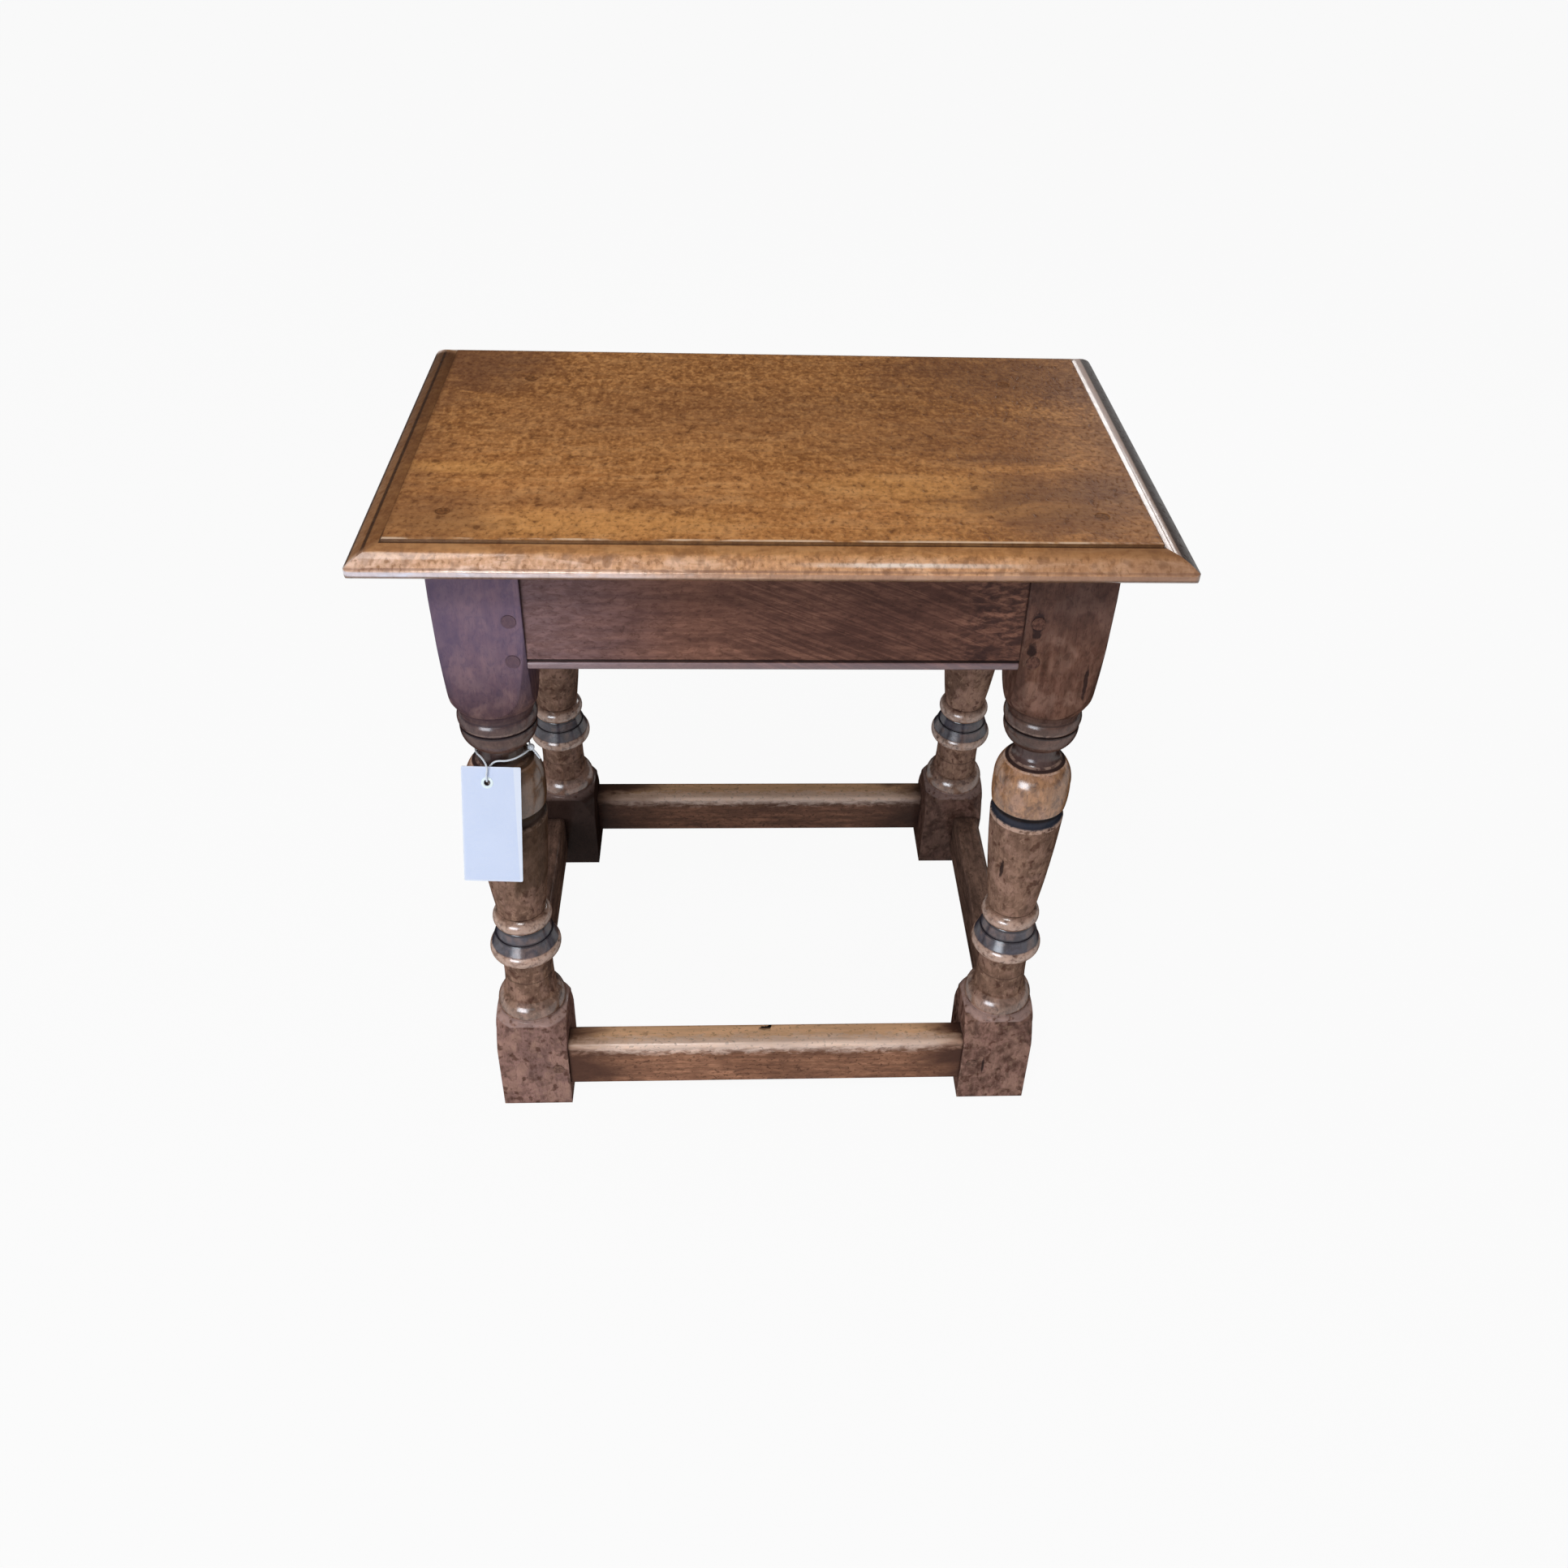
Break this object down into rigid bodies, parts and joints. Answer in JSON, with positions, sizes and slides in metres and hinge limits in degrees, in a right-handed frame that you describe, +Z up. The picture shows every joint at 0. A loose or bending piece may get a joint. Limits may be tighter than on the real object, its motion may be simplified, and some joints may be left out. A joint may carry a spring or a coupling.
{
  "type": "joint stool",
  "caption": "Oak joint stool: thumb-moulded board pegged to turned, raked legs with plain aprons and low stretchers, and a blank string tag on one leg.",
  "frame": {"origin": "on the floor under the middle of the board, midway between the four feet", "axes": "+Z up, +X to the right along the board's length, -Y towards the front, the side the tag hangs on"},
  "size_m": [0.457, 0.31, 0.458],
  "materials": {
    "oak_board": "old oak, waxed to a satin sheen",
    "oak_legs": "old dark oak, waxed",
    "oak_rails": "old dark oak, waxed",
    "oak_pegs": "end grain of dark oak pegs",
    "card": "blank pale paper card",
    "reinforcing_ring": "paper reinforcing ring",
    "cotton_string": "thin white cotton string"
  },
  "bodies": {
    "stool": {"seat_top": "oak_board", "top_pegs": "oak_pegs", "leg_front_left": "oak_legs", "leg_front_right": "oak_legs", "leg_rear_left": "oak_legs", "leg_rear_right": "oak_legs", "apron_front": "oak_rails", "apron_rear": "oak_rails", "apron_left": "oak_rails", "apron_right": "oak_rails", "stretcher_front": "oak_rails", "stretcher_rear": "oak_rails", "stretcher_left": "oak_rails", "stretcher_right": "oak_rails", "apron_pegs_front_left": "oak_pegs", "apron_pegs_front_right": "oak_pegs", "apron_pegs_rear_left": "oak_pegs", "apron_pegs_rear_right": "oak_pegs", "stretcher_pegs_front_left": "oak_pegs", "stretcher_pegs_front_right": "oak_pegs", "stretcher_pegs_rear_left": "oak_pegs", "stretcher_pegs_rear_right": "oak_pegs", "tag_string": "cotton_string", "string_knot": "cotton_string"},
    "tag": {"swing_tag": "card", "tag_eyelet": "reinforcing_ring"}
  },
  "joints": [
    {"name": "tag_swing", "type": "hinge", "parent": "stool", "child": "tag", "pos_m": [-0.1732, -0.13091, 0.29242], "axis": [-1, 0, 0], "range_deg": [0, 8]}
  ]
}
